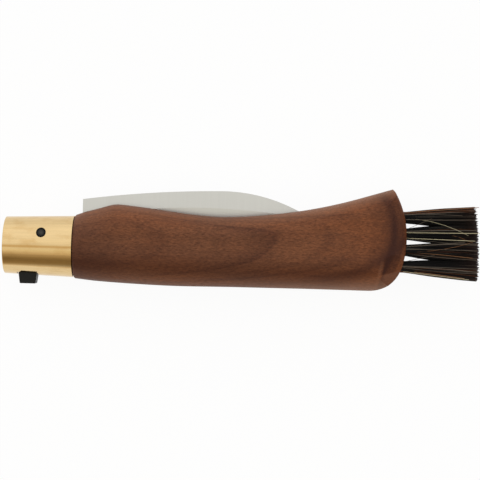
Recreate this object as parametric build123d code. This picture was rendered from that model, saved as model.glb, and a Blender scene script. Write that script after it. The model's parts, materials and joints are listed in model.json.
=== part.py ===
from build123d import *
import os
from math import asin, cos, degrees, pi, radians, sin, sqrt

# A folding mushroom knife with a brush in its butt, closed, lying on its side. Millimetres.
# X runs from the ferrule to the brush tips, Y from the thumb button to the blade's spine, and Z is up.
# Every piece is drawn about the blade's pivot, in the knife's middle plane, and then moved so that the
# origin is the middle of the underside. Below, front means towards the ferrule's closed end.

CENTRE_LOW = (Align.CENTER, Align.CENTER, Align.MIN)

# Brass ferrule: a tapered cup whose closed end faces forward, on an axis below the pivot
ferrule_front = 12.15
ferrule_rear = 9.7
ferrule_front_radius = 9.1
ferrule_rear_radius = 9.85
ferrule_wall = 0.8
ferrule_edge_radius = 0.3
ferrule_drop = 4.2
slot_width = 2.6

# Pivot pin, trimmed flush with the ferrule, and its two brass washers
pin_radius = 1.5
running_gap = 0.05
washer_radius = 3.2
washer_thickness = 0.3

# Lock ring inside the cup, in front of the pin, with the button that turns it
ring_rear_gap = 0.7
ring_thickness = 0.9
ring_end_gap = 0.2
ring_side_gap = 0.22
ring_slot_width = 3.0
ring_turn = 24.0
neck_gap = 0.1
button_length = 6.2
button_width = 5.8
button_height = 3.05
button_draft = 7.0
button_edge_radius = 0.35
button_rear_reach = 0.73
window_gap = 0.3

# Countersunk screw that holds the button to the ring from inside
screw_radius = 0.8
screw_head_radius = 1.5
screw_head_height = 0.7
screw_length = 3.6
screw_drive_width = 0.35
screw_drive_depth = 0.3

# Blade, drawn closed: its spine up, its concave edge down in the handle's slot
blade_thickness = 1.8
tang_end_radius = 3.4
tang_top = 4.6
tang_bottom = 2.6
shoulder_gap = 0.08
stop_gap = 0.1
heel_height = 11.05
heel_drop = 5.0
heel_run = 1.6
spine_crown_x = 57.3
spine_crown_height = 14.8
spine_front_radius = 338.0
spine_rear_radius = 52.5
spine_rear_x = 81.2
blade_length = 89.0
tip_drop = 2.0
edge_hollow = 3.8
edge_thickness = 0.2
grind_width = 9.0
plunge_run = 3.0

# Walnut handle, one piece: a neck inside the ferrule, a swelling, a waist and a deep butt
handle_reach = 115.5
handle_height = 32.6
handle_depth = 20.8
flat_overlap = 0.01
shoulder_step = 0.3
shoulder_edge_radius = 0.7
ferrule_gap = 0.3
butt_radius = 28.25
butt_crown_rise = 5.1
nose_radius = 10.6
nose_base = 11.55
rounding_run = 7.65
rounding_radius = 13.0
rounding_slope = 10.0
nose_facet_drop = 1.4
nose_facet_turn = -38.0
nose_facet_slope = 32.0
end_edge_radius = 2.0
neck_slot_floor = 5.0
slot_floor = 6.0
slot_saw_radius = 17.0
slot_tip_room = 1.2

# Each handle section: how far along from the shoulder to the butt, its top above the ferrule's axis
# and its bottom below it as shares of the handle's height, and its upper corner. Corners are shares of
# half the handle's depth or, where that is less, of half its height.
HANDLE_SECTION_SHARES = (
    (0.020, 0.3330, 0.3170, 0.96),
    (0.061, 0.3710, 0.3300, 0.92),
    (0.092, 0.4005, 0.3365, 0.87),
    (0.119, 0.4215, 0.3410, 0.82),
    (0.145, 0.4200, 0.3450, 0.78),
    (0.223, 0.3940, 0.3545, 0.72),
    (0.330, 0.3520, 0.3605, 0.67),
    (0.445, 0.3280, 0.3560, 0.65),
    (0.560, 0.3530, 0.3545, 0.64),
    (0.700, 0.4190, 0.3530, 0.63),
    (0.835, 0.5240, 0.3545, 0.62),
    (0.940, 0.6280, 0.3545, 0.61),
    (1.015, 0.7070, 0.3545, 0.60),
)
LOWER_CORNER_SHARE = 0.97

# Brush: tufts of boar bristle in rows up the butt and columns through its depth
brush_rows = 4
brush_columns = 3
row_pitch = 5.25
column_pitch = 4.15
brush_rise = 4.3
tuft_hole_radius = 1.9
tuft_hole_depth = 8.4
tuft_gap = 0.08
tuft_sink = 1.4
anchor_height = 1.3
anchor_thickness = 0.45
bristle_length = 23.0
tip_row_pitch = 5.85
tip_column_pitch = 5.0
tip_spread = 2.6
tip_spread_depth = 2.35
base_spread = 1.5
strand_thickness = 0.34
strand_tip_thickness = 0.24
strand_root = 0.6
brush_crown = 0.8
trim_unevenness = 0.7
STRAND_RINGS = 3
GOLDEN_SHARE = 0.618034

# Sizes that follow from those above
overrun = ferrule_rear_radius
slot_half = slot_width / 2
blade_half = blade_thickness / 2
board_half = handle_depth / 2
taper = (ferrule_rear_radius - ferrule_front_radius) / (ferrule_front + ferrule_rear)
pin_hole_radius = pin_radius + running_gap
cup_floor = ferrule_wall - ferrule_front
ring_front = cup_floor + ring_end_gap
ring_rear = -pin_radius - ring_rear_gap
ring_radius = ferrule_front_radius - ferrule_wall + taper * ferrule_wall - ring_side_gap
ring_bore_radius = ring_radius - ring_thickness
neck_radius = ring_bore_radius - neck_gap
shoulder_x = ferrule_rear + ferrule_gap
tang_end_x = ferrule_front + shoulder_gap
stop_height = tang_top + stop_gap
handle_run = handle_reach - shoulder_x
rounding_start = handle_reach - rounding_run
tuft_hole_bottom = handle_reach - tuft_hole_depth
brush_reach = handle_reach + bristle_length
button_rear = ring_rear + button_rear_reach
button_front = button_rear - button_length
button_crown = ferrule_front_radius + button_height


def around_axis(x):
    """A plane square to the ferrule's axis at x, its own x direction pointing up to the spine."""
    return Plane(origin=(x, -ferrule_drop, 0), x_dir=(0, 1, 0), z_dir=(1, 0, 0))


def outside_radius(x):
    """The ferrule's outer radius at x."""
    return ferrule_front_radius + taper * (x + ferrule_front)


def turned(x_from, radius_from, x_to, radius_to):
    """A cone or cylinder about the ferrule's axis between two places along it."""
    length = x_to - x_from
    if abs(radius_to - radius_from) < running_gap / length:
        return around_axis(x_from) * Cylinder(radius_from, length, align=CENTRE_LOW)
    return around_axis(x_from) * Cone(radius_from, radius_to, length, align=CENTRE_LOW)


def slab(x_from, x_to, y_from, y_to, half_width):
    """A block between two places along and two heights, both sides of the middle plane."""
    size = (x_to - x_from, y_to - y_from, 2 * half_width)
    return Pos((x_from + x_to) / 2, (y_from + y_to) / 2, 0) * Box(*size)


def pin_hole(half_length):
    """A hole for the pivot pin through the middle plane."""
    return Cylinder(pin_hole_radius, 2 * half_length)


def ferrule():
    """The brass cup, slotted for the blade along its top and down its closed end to the blade's stop."""
    front_edge_x = -ferrule_front
    cup = turned(front_edge_x, ferrule_front_radius, ferrule_rear, ferrule_rear_radius)
    cup = fillet(cup.faces().sort_by(Axis.X)[0].edges(), ferrule_edge_radius)
    inside = outside_radius(cup_floor) - ferrule_wall
    inside_rear = outside_radius(ferrule_rear + overrun) - ferrule_wall
    cup -= turned(cup_floor, inside, ferrule_rear + overrun, inside_rear)
    cup -= slab(cup_floor, ferrule_rear + overrun, 0, overrun, slot_half)
    cup -= slab(front_edge_x - overrun, cup_floor + overrun / 2, -stop_height, overrun, slot_half)
    cup -= pin_hole(ferrule_rear_radius + overrun)
    return cup - button_window()


def button_window():
    """The window in the ferrule's underside that the button travels along, open to one side only."""
    inner = ferrule_front_radius - ferrule_wall
    half_angle = degrees(asin((button_width / 2 + window_gap) / inner))
    reach = ferrule_rear_radius + overrun
    corners = [(0, 0)]
    for angle in (-half_angle, (ring_turn - half_angle) / 2, ring_turn + half_angle):
        turn = radians(angle)
        corners.append((-reach * cos(turn), -reach * sin(turn)))
    wedge = around_axis(button_front - window_gap) * make_face(Polyline(*corners, close=True))
    return extrude(wedge, button_length + 2 * window_gap, dir=(1, 0, 0))


def pivot_pin():
    """The blade's pin, its ends dressed to the ferrule's cone."""
    pin = Cylinder(pin_radius, 2 * (ferrule_rear_radius + overrun))
    cone = turned(-ferrule_front, ferrule_front_radius, ferrule_rear, ferrule_rear_radius)
    return pin & cone


def pivot_washer(side):
    """One brass washer between the blade and the slot's wall."""
    ring = Cylinder(washer_radius, washer_thickness) - pin_hole(washer_thickness)
    return Pos(0, 0, side * (blade_half + running_gap + washer_thickness / 2)) * ring


def lock_ring():
    """A ring with a gap that lets the tang through until the ring is turned over it."""
    ring = turned(ring_front, ring_radius, ring_rear, ring_radius)
    ring -= turned(ring_front - overrun, ring_bore_radius, ring_rear + overrun, ring_bore_radius)
    ring -= slab(ring_front - overrun, ring_rear + overrun, 0, overrun, ring_slot_width / 2)
    return ring - button_screw_shape(0)


def button_place(depth):
    """A plane square to the button, at a distance below the ferrule's axis, facing away from it."""
    middle = (button_front + button_rear) / 2
    return Plane(origin=(middle, -ferrule_drop - depth, 0), x_dir=(1, 0, 0), z_dir=(0, -1, 0))


def lock_button():
    """The black thumb button, its sides drafted, standing on the ring through the window."""
    height = button_crown - ring_bore_radius
    foot = button_place(ring_bore_radius) * Rectangle(button_length, button_width)
    tab = extrude(foot, height, taper=button_draft)
    crown = tab.faces().sort_by(Axis.Y)[0]
    tab = fillet(crown.edges(), button_edge_radius)
    tab -= turned(button_front - overrun, ring_radius, button_rear + overrun, ring_radius)
    return tab - button_screw_shape(0)


def button_screw_shape(drive_depth):
    """The countersunk screw's form, with a straight drive slot where a depth is given."""
    at = button_place(ring_bore_radius)
    cone = Cone(screw_head_radius, screw_radius, screw_head_height, align=CENTRE_LOW)
    shank = Cylinder(screw_radius, screw_length, align=CENTRE_LOW)
    screw = at * (cone + shank)
    if drive_depth:
        slot = Box(screw_drive_width, 2 * screw_head_radius, drive_depth, align=CENTRE_LOW)
        screw -= at * slot
    return screw


def blade_outline():
    """The closed blade's side, from the tang's round end up the spine to the hooked tip and back."""
    rise_y = tang_top - tang_end_radius / 2
    tang_rise = Vector(sqrt(tang_end_radius**2 - rise_y**2), rise_y)
    tang_fall_x = sqrt(tang_end_radius**2 - tang_bottom**2)
    heel_corner = Vector(tang_end_x, heel_height)
    crown = Vector(spine_crown_x, spine_crown_height)
    front_sag = (crown - heel_corner).length ** 2 / (8 * spine_front_radius)
    rear_y = spine_crown_height - spine_rear_radius
    rear_y += sqrt(spine_rear_radius**2 - (spine_rear_x - spine_crown_x) ** 2)
    rear = Vector(spine_rear_x, rear_y)
    rear_turn = (spine_rear_x - spine_crown_x) / spine_rear_radius
    tip = Vector(blade_length, -tip_drop)
    heel = Vector(tang_end_x + heel_run, -heel_drop)
    hollow = (heel + tip) * 0.5 + Vector(0, edge_hollow)
    tang_shoulder = (tang_rise.X + tang_top - rise_y, tang_top)
    lines = [
        ThreePointArc((tang_fall_x, -tang_bottom), (-tang_end_radius, 0), tang_rise),
        Polyline(tang_rise, tang_shoulder, (tang_end_x, tang_top), heel_corner),
        SagittaArc(heel_corner, crown, front_sag),
        TangentArc(crown, rear, tangent=(1, 0)),
        TangentArc(rear, tip, tangent=(cos(asin(rear_turn)), -rear_turn)),
        ThreePointArc(tip, hollow, heel),
        Polyline(heel, (tang_end_x, -tang_bottom), (tang_fall_x, -tang_bottom)),
    ]
    return make_face(lines)


def grind():
    """What the grinding takes off one side, swept about the centre of the blade's concave edge."""
    heel = Vector(tang_end_x + heel_run, -heel_drop)
    tip = Vector(blade_length, -tip_drop)
    chord = (tip - heel).length
    radius = chord**2 / (8 * edge_hollow) + edge_hollow / 2
    middle = (heel + tip) * 0.5
    centre = middle + Vector(0, edge_hollow - radius)
    inner = radius - overrun / 2
    rise = (blade_half - edge_thickness / 2) / grind_width
    low = edge_thickness / 2 - rise * overrun / 2
    top = blade_half + rise * overrun / 2
    outer = radius + grind_width + overrun / 2
    start = degrees(asin((heel.X + plunge_run - centre.X) / radius))
    end = degrees(asin((tip.X + overrun - centre.X) / radius))
    side = Plane(origin=(centre.X, centre.Y, 0), x_dir=(0, 1, 0), z_dir=(1, 0, 0))
    wedge = side * make_face(Polyline((inner, low), (outer, top), (inner, top), close=True))
    axis = Axis((centre.X, centre.Y, 0), (0, 0, -1))
    return revolve(wedge.rotate(axis, start), axis, end - start)


def blade():
    """The steel blade: flat-ground to its concave edge, with its pin hole."""
    plate = extrude(blade_outline(), blade_half, both=True)
    ground = grind()
    plate -= ground
    plate -= mirror(ground, Plane.XY)
    return plate - pin_hole(blade_thickness)


def handle_section(x, top, bottom, half_depth, upper, lower):
    """A section square to X between two heights, its corners rounded more below than above."""
    plane = Plane(origin=(x, 0, 0), x_dir=(0, 1, 0), z_dir=(1, 0, 0))
    high, low = top - upper, bottom + lower
    high_side, low_side = half_depth - upper, half_depth - lower
    upper_out, lower_out = upper * sin(pi / 4), lower * sin(pi / 4)
    lines = [
        ThreePointArc((low, -half_depth), (low - lower_out, -low_side - lower_out), (bottom, -low_side)),
        Line((bottom, -low_side), (bottom, low_side)),
        ThreePointArc((bottom, low_side), (low - lower_out, low_side + lower_out), (low, half_depth)),
        Line((low, half_depth), (high, half_depth)),
        ThreePointArc((high, half_depth), (high + upper_out, high_side + upper_out), (top, high_side)),
        Line((top, high_side), (top, -high_side)),
        ThreePointArc((top, -high_side), (high + upper_out, -high_side - upper_out), (high, -half_depth)),
        Line((high, -half_depth), (low, -half_depth)),
    ]
    return plane * make_face(lines)


def handle_blank():
    """The carved form, lofted from the shoulder to beyond the butt and flat on both sides."""
    start = ferrule_rear_radius + shoulder_step
    first = start - flat_overlap
    sections = [handle_section(shoulder_x, start - ferrule_drop, -start - ferrule_drop, start, first, first)]
    half = board_half + flat_overlap
    for along, top, bottom, corner in HANDLE_SECTION_SHARES:
        high = top * handle_height - ferrule_drop
        low = -bottom * handle_height - ferrule_drop
        room = min(half, (high - low) / 2)
        x = shoulder_x + along * handle_run
        sections.append(handle_section(x, high, low, half, corner * room, LOWER_CORNER_SHARE * room))
    blank = loft(sections)
    return blank & slab(-overrun, handle_reach + overrun, -handle_height, handle_height, board_half)


def butt_outline():
    """The side view that the butt is cut to: a large arc and, below it, the rounded nose."""
    centre = Vector(handle_reach - butt_radius, butt_crown_rise - ferrule_drop)
    base = -nose_base - ferrule_drop
    nose_y = base + nose_radius
    span = butt_radius - nose_radius
    nose_x = centre.X + sqrt(span**2 - (nose_y - centre.Y) ** 2)
    meet = centre + (Vector(nose_x, nose_y) - centre) * (butt_radius / span)
    top = centre.Y + butt_radius
    high = Vector(centre.X, top)
    low_left = Vector(-ferrule_front, base - overrun)
    lines = [
        ThreePointArc(high, (handle_reach, centre.Y), meet),
        TangentArc((nose_x, base), meet, tangent=(1, 0)),
        Polyline((nose_x, base), (nose_x, base - overrun), low_left, (-ferrule_front, top), high),
    ]
    return make_face(lines)


def both_sides(cut):
    """A cut with its mirror image on the handle's other side."""
    return cut + mirror(cut, Plane.XY)


def butt_rounding():
    """Everything outside the arc that rounds over the butt's edge, straight along Y."""
    end_sine = sin(radians(rounding_slope)) + rounding_run / rounding_radius
    angles = [radians(rounding_slope), 0, asin(end_sine)]
    angles[1] = (angles[0] + angles[2]) / 2
    centre = Vector(rounding_start - rounding_radius * sin(angles[0]), board_half - rounding_radius * cos(angles[0]))
    start, middle, end = (centre + Vector(sin(a), cos(a)) * rounding_radius for a in angles)
    before = start - Vector(cos(angles[0]), -sin(angles[0])) * overrun
    after = end + Vector(cos(angles[2]), -sin(angles[2])) * overrun
    high = board_half + handle_depth
    side = Plane(origin=(0, 0, 0), x_dir=(1, 0, 0), z_dir=(0, -1, 0))
    lines = [
        Line(before, start),
        ThreePointArc(start, middle, end),
        Polyline(end, after, (after.X, high), (before.X, high), before),
    ]
    return extrude(side * make_face(lines), handle_height, both=True)


def nose_facet():
    """Everything outside the plane that slopes off the butt's lower end."""
    reach = handle_height + handle_depth
    lean = sin(radians(nose_facet_slope))
    turn = radians(nose_facet_turn)
    normal = (lean * cos(turn), lean * sin(turn), cos(radians(nose_facet_slope)))
    anchor = (rounding_start, -ferrule_drop - nose_facet_drop, board_half)
    return Plane(origin=anchor, z_dir=normal) * Box(reach, reach, reach, align=CENTRE_LOW)


def blade_slot():
    """The saw cut for the blade: shallow in the neck, deeper behind it, running out in the saw's arc."""
    saw_x = blade_length - slot_saw_radius / 2
    saw_y = slot_saw_radius - slot_floor
    top = handle_height
    run_out = Vector(saw_x + slot_saw_radius, saw_y)
    low_mid = Vector(saw_x + slot_saw_radius * sin(pi / 4), saw_y - slot_saw_radius * cos(pi / 4))
    lines = [
        Polyline(
            (saw_x, -slot_floor),
            (tang_end_x, -slot_floor),
            (tang_end_x - slot_tip_room, -neck_slot_floor),
            (-ferrule_front - overrun, -neck_slot_floor),
            (-ferrule_front - overrun, top),
            (run_out.X, top),
            run_out,
        ),
        ThreePointArc(run_out, low_mid, (saw_x, -slot_floor)),
    ]
    return extrude(make_face(lines), slot_half, both=True)


def tuft_places():
    """The row and column of each tuft, with its height and its depth at the butt and at the tips."""
    for row in range(brush_rows):
        for column in range(brush_columns):
            up = row - (brush_rows - 1) / 2
            across = column - (brush_columns - 1) / 2
            rise = brush_rise - ferrule_drop
            root = (rise + up * row_pitch, across * column_pitch)
            tip = (rise + up * tip_row_pitch, across * tip_column_pitch)
            yield row, column, root, tip


def handle():
    """The walnut handle with its neck, blade slot, pin hole, tuft holes and dressed butt."""
    neck_step = button_rear + window_gap
    seat_front = outside_radius(neck_step) - ferrule_wall - running_gap
    seat_rear = outside_radius(shoulder_x) - ferrule_wall - running_gap
    body = handle_blank()
    body = fillet(body.faces().sort_by(Axis.X)[0].edges(), shoulder_edge_radius)
    body &= extrude(butt_outline(), handle_depth, both=True)
    body -= both_sides(butt_rounding())
    body -= both_sides(nose_facet())
    end_edges = body.faces().sort_by(Axis.X)[-1].edges().sort_by(SortBy.LENGTH)[-2:]
    body = fillet(end_edges, end_edge_radius)
    body += turned(neck_step, seat_front, shoulder_x + ferrule_gap, seat_rear)
    body += turned(ring_front, neck_radius, neck_step + neck_gap, neck_radius)
    body -= blade_slot()
    body -= pin_hole(handle_depth)
    for row, column, root, tip in tuft_places():
        at = Plane(origin=(tuft_hole_bottom, root[0], root[1]), z_dir=(1, 0, 0))
        body -= at * Cylinder(tuft_hole_radius, handle_reach, align=CENTRE_LOW)
    return body


def butt_surface(y):
    """How far the butt reaches at a height."""
    centre_y = butt_crown_rise - ferrule_drop
    return handle_reach - butt_radius + sqrt(butt_radius**2 - (y - centre_y) ** 2)


def square(x, y, z, side):
    """A small square section of a strand."""
    plane = Plane(origin=(x, y, z), x_dir=(0, 1, 0), z_dir=(1, 0, 0))
    return (plane * Rectangle(side, side)).wire()


def strand(root_x, root, tip_x, tip):
    """One four-sided bristle, tapering from its root to its tip."""
    ends = [square(root_x, *root, strand_thickness), square(tip_x, *tip, strand_tip_thickness)]
    return Solid.make_loft(ends, ruled=True)


def tuft(number, root, tip):
    """The bristles of one hole on the slice that fills it: rings of strands that fan out, none crossing."""
    mouth = butt_surface(root[0]) - tuft_sink
    floor = tuft_hole_bottom + anchor_height + tuft_gap
    at = Plane(origin=(floor, root[0], root[1]), z_dir=(1, 0, 0))
    plug = at * Cylinder(tuft_hole_radius - tuft_gap, mouth - floor, align=CENTRE_LOW)
    strands = []
    for ring in range(STRAND_RINGS + 1):
        share = ring / STRAND_RINGS
        count = max(1, 6 * ring)
        for step in range(count):
            angle = 2 * pi * (step + number * GOLDEN_SHARE) / count
            y = cos(angle) * share
            z = sin(angle) * share
            below = (root[0] + base_spread * y, root[1] + base_spread * z)
            above = (tip[0] + tip_spread * y, tip[1] + tip_spread_depth * z)
            uneven = trim_unevenness * ((len(strands) * GOLDEN_SHARE) % 1)
            middle = brush_rise - ferrule_drop
            crown = brush_crown * ((above[0] - middle) / (brush_rows / 2 * tip_row_pitch)) ** 2
            end = brush_reach - uneven - crown
            strands.append(strand(mouth - strand_root, below, end, above))
    return plug.fuse(*strands)


def tuft_anchors():
    """The strips that wedge the folded bristles at the bottom of their holes."""
    width = 2 * (tuft_hole_radius - tuft_gap)
    strip = Box(anchor_height, anchor_thickness, width)
    middle = tuft_hole_bottom + anchor_height / 2
    return [Pos(middle, root[0], root[1]) * strip for row, column, root, tip in tuft_places()]


def pieces():
    """Every node's shape by name, drawn about the pivot."""
    shapes = {
        "handle": handle(),
        "ferrule": ferrule(),
        "pivot_pin": pivot_pin(),
        "pivot_washer_upper": pivot_washer(1),
        "pivot_washer_lower": pivot_washer(-1),
        "blade": blade(),
        "lock_ring": lock_ring(),
        "lock_button": lock_button(),
        "button_screw": button_screw_shape(screw_drive_depth),
        "tuft_anchors": Compound(tuft_anchors()),
    }
    for number, (row, column, root, tip) in enumerate(tuft_places()):
        shapes[f"tuft_row{row + 1}_column{column + 1}"] = tuft(number, root, tip)
    return shapes


def main():
    os.makedirs("parts", exist_ok=True)
    shapes = pieces()
    boxes = [shape.bounding_box() for shape in shapes.values()]
    low = [min(getattr(box.min, side) for box in boxes) for side in "XYZ"]
    high = [max(getattr(box.max, side) for box in boxes) for side in "XYZ"]
    shift = (-(low[0] + high[0]) / 2, -(low[1] + high[1]) / 2, -low[2])
    print("pivot", [round(value, 4) for value in shift])
    print("size", [round(top - bottom, 3) for bottom, top in zip(low, high)])
    for name, shape in shapes.items():
        export_step(Pos(*shift) * shape, f"parts/{name}.step")


main()
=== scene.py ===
import json
import math
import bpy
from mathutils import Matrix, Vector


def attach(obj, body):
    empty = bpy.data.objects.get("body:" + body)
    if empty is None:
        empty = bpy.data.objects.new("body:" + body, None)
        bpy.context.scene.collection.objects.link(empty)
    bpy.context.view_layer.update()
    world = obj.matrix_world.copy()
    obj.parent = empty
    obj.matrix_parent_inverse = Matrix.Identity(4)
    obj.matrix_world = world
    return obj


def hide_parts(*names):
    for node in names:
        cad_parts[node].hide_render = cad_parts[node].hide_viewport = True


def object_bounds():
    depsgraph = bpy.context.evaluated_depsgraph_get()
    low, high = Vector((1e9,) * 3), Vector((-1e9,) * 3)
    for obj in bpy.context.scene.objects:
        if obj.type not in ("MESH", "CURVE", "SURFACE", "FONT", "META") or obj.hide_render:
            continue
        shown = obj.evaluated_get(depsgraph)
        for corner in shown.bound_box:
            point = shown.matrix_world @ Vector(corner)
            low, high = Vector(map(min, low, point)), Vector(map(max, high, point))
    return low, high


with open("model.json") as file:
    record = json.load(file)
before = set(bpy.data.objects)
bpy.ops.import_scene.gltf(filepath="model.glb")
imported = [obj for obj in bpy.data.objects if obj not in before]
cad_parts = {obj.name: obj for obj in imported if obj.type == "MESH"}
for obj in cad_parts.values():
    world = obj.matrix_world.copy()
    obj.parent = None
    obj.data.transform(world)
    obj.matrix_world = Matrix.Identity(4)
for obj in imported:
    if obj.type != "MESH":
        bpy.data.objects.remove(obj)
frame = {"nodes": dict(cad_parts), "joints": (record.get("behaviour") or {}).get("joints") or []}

from types import SimpleNamespace

import bpy
import numpy as np
from bpy.props import FloatProperty, FloatVectorProperty, IntProperty, PointerProperty
from mathutils import Vector

bl_info = {
    "name": "Mushroom Knife with Brush",
    "version": (1, 0, 0),
    "blender": (4, 5, 0),
    "location": "3D View > Sidebar > Knife",
    "description": "Finishes, bristles and studio for a folding mushroom knife",
    "category": "Object",
}

MM = 0.001
CAD_BOX = [list(corner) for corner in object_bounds()]
PIVOT = Vector(next(joint["pos_m"] for joint in frame["joints"] if joint["name"] == "blade_pivot"))
PIVOT_MM = tuple(PIVOT / MM)
TUFTS = sorted(name for name in frame["nodes"] if name.startswith("tuft_row"))
GOLDEN_TURN = math.pi * (3 - math.sqrt(5))

# The places and lengths below are in millimetres. Places are measured from the pivot, X along the
# knife towards the brush and Y towards its spine. A fade is two places and the shares at them. A
# profile is a ramp: places from 0 to 1 along or across something, each with its share.

# The tree's heart lies this far above the handle's middle plane and, at the pivot, this far towards
# the spine. It drifts towards the spine by this slope along the handle.
HEART_HEIGHT = 50.4
HEART_OFFSET = -4.3
HEART_DRIFT = 0.08
# At the pivot a ring starts at this distance from the heart. It shrinks by the taper along the
# handle, so its arch on the flat points to the brush, and wanders by this much along each axis.
RING_RADIUS = 46.6
RING_TAPER = 0.1125
RING_WANDER = (0, 5, 3)
# How dark a year's growth is, from its early wood to the fine line that ends it.
YEAR = (
    (0.0, 0.8), (0.03, 0.28), (0.24, 0.0), (0.38, 0.0), (0.5, 0.45), (0.62, 0.1), (0.75, 0.35),
    (0.92, 0.75), (0.98, 1.0),
)
# The fades by which the rings gain strength behind the ferrule and lose it before the butt.
RINGS_RISE = (25.0, 60.0, 0.5, 1.0)
RINGS_FADE = (92.0, 101.0, 1.0, 0.2)

# A dark band of painted shade runs along the handle's lower side, where the wood curves away
# from the light. Its middle has this height at the pivot, falls by the slope, and past its end
# rises by this share of the square of the way. It reaches this far to each side of its middle,
# and near the butt it holds a finer and darker line of painted shade.
LOW_BAND_Y = -7.5
LOW_BAND_SLOPE = 0.04
LOW_BAND_END = 89.0
LOW_BAND_RISE = 0.019
LOW_BAND_REACH = 6.0
LOW_BAND = ((0.1, 0.0), (0.32, 0.85), (0.45, 1.0), (0.6, 0.7), (0.75, 0.4), (1.0, 0.0))
SHADE_STREAK = ((0.33, 0.0), (0.45, 1.0), (0.53, 1.0), (0.64, 0.0))
SHADE_STREAK_START = (74.0, 88.0, 0.0, 1.0)

# The butt is round in side view. Its end grain darkens it in bands along its rim, to this depth,
# and below this height they lie further in by this share of the way down. The bands are partly
# the end grain's own darker colour and partly painted shade of the butt's rounding, and they are
# lighter at the rim.
BUTT_CENTRE = (87.25, 0.9)
BUTT_RADIUS = 28.25
END_GRAIN_DEPTH = 12.0
END_GRAIN = (
    (0.0, 0.25), (0.04, 0.55), (0.08, 0.62), (0.185, 0.65), (0.24, 0.8), (0.29, 0.89),
    (0.345, 0.86), (0.4, 0.74), (0.45, 0.58), (0.5, 0.48), (0.56, 0.41), (0.61, 0.34),
    (0.665, 0.27), (0.77, 0.23), (0.88, 0.15), (1.0, 0.0),
)
END_GRAIN_LOW_Y = 9.0
END_GRAIN_LOW_SHIFT = 0.085
# The fades by which it comes in along the handle and is weaker near the spine.
END_GRAIN_START = (80.0, 100.0, 0.0, 1.0)
END_GRAIN_HIGH = (4.0, 12.0, 1.0, 0.8)
# Low on the butt, by this fade with height, the flat is spared this share of the end grain. The
# flat ends at a line between these places, given at the pivot's height, which leans by the slope.
FLAT_HEIGHTS = (-5.0, -7.5, 0.0, 1.0)
FLAT_SPARED = 0.9
FLAT_END = (109.2, 110.0)
FLAT_END_SLOPE = 0.2
# A painted highlight runs this far to the flat's side of the line, with this fade from its own
# middle. Painted shade of the crease, of this width and strength, runs on the line's other side.
ARRIS_OFFSET = 0.4
ARRIS_FADE = (0.7, 0.2, 0.0, 1.0)
CREASE_SHADE_WIDTH = 1.2
CREASE_SHADE_STRENGTH = 0.5
# The butt's lower corner, below a slanting line, is painted as a lit facet, which shows no end
# grain but the crease's painted shade: a place on the line, its slope and how soft it is to each
# side.
CORNER = (113.3, -9.1)
CORNER_SLOPE = 0.25
CORNER_SOFT = 0.3

# How strong the painted pale sheen on the rounded edges is, by how far the wood faces the
# spine's side or the lower side, and by a fade along the handle.
EDGE_SHEEN = ((0.45, 0.0), (0.6, 0.12), (0.75, 0.25), (0.9, 0.5))
EDGE_SHEEN_RISE = (60.0, 90.0, 0.3, 1.0)
# The fades by which the wood gets redder towards the butt, and darker behind the ferrule on its
# lower side.
REDDER_RISE = (60.0, 120.0, 0.0, 0.5)
NEAR_FERRULE_FADE = (13.0, 28.0, 0.38, 0.0)
NEAR_FERRULE_HEIGHTS = (4.0, -1.0, 0.0, 1.0)

# The heights between which the brass is painted warmer, a painted reflection of the room's dark
# side in its dark band, and how much from the lower one up.
WARM_REFLECTION_HEIGHTS = (-11.0, -5.0)
WARM_REFLECTION = (
    (0.1, 0.0), (0.14, 0.45), (0.22, 0.9), (0.3, 1.0), (0.48, 1.0), (0.6, 0.75), (0.72, 0.6),
    (0.83, 0.25), (0.93, 0.0),
)
# The height of the one dark line of painted reflection along the brass, and its fade from there.
DARK_REFLECTION_Y = -4.5
DARK_REFLECTION_FADE = (0.6, 0.15, 0.0, 0.6)
# The fade from the pin's axis of its lighter middle, a painted sheen.
PIN_SHEEN = (1.3, 0.4, 0.0, 1.0)

# What a material's main noise adds to its roughness, and the roughness without it.
WOOD_ROUGH = (0.2, 0.42)
BRASS_ROUGH = (0.08, 0.05)
OXIDE_ROUGH = (0.25, 0.3)
PLASTIC_ROUGH = (0.25, 0.3)
# What the wood's pores, the brass's dull patches and the steel's lines add to theirs.
PORES_ROUGH = 0.15
DULL_ROUGH = 0.05
STEEL_LINES_ROUGH = 0.16

# A CAD tuft's root is its points this near its lowest X, and its tips those this near its highest.
# The mouth of its hole is the handle's points this near its outline and this far past its root.
ROOT_NEAR = 0.05
TIPS_NEAR = 2.0
MOUTH_NEAR = 0.15
MOUTH_PAST = 2.0

# Where most of a row's brown hairs lie, -1 to 1 across it, and how likely a hair there is brown.
# The chance falls off as a bell of this width, to the one elsewhere.
BROWN_HAIRS = {"row1": (-1.0, 0.45), "row2": (-0.35, 0.2), "row3": (0.4, 0.0), "row4": (0.85, 0.5)}
BROWN_WIDTH = 0.35
BROWN_ELSEWHERE = 0.02
# A hair whose number from 0 to 1 is above this one is grey.
GREY_FROM = 0.92
# A hair's tone and thickness are multiplied by numbers from these ranges.
BROWN_TONES = (0.4, 1.6)
GREY_TONES = (0.5, 1.9)
THICKNESSES = (0.75, 1.15)
# A hair thins by this share to its tip, where it is worn browner by this share of brown, which
# comes in with this power of the way.
TAPER = 0.2
TIP_BROWN = 0.2
TIP_BROWN_POWER = 6
# The side on which a row has no neighbour, where its hairs lean out evenly along their length.
OPEN_SIDE = {"row1": -1, "row2": 0, "row3": 0, "row4": 1}
# How strongly a row's hairs are pushed out near the wood, and those on its open side.
PUSH = 1.6
OPEN_PUSH = 1.0
# How far tips stray from their places and past their tuft's outline, in shares of its half width,
# and how far a hair bows.
TIP_STRAY = 0.09
TIP_LIMIT = 1.03
BOW = 0.13
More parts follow.
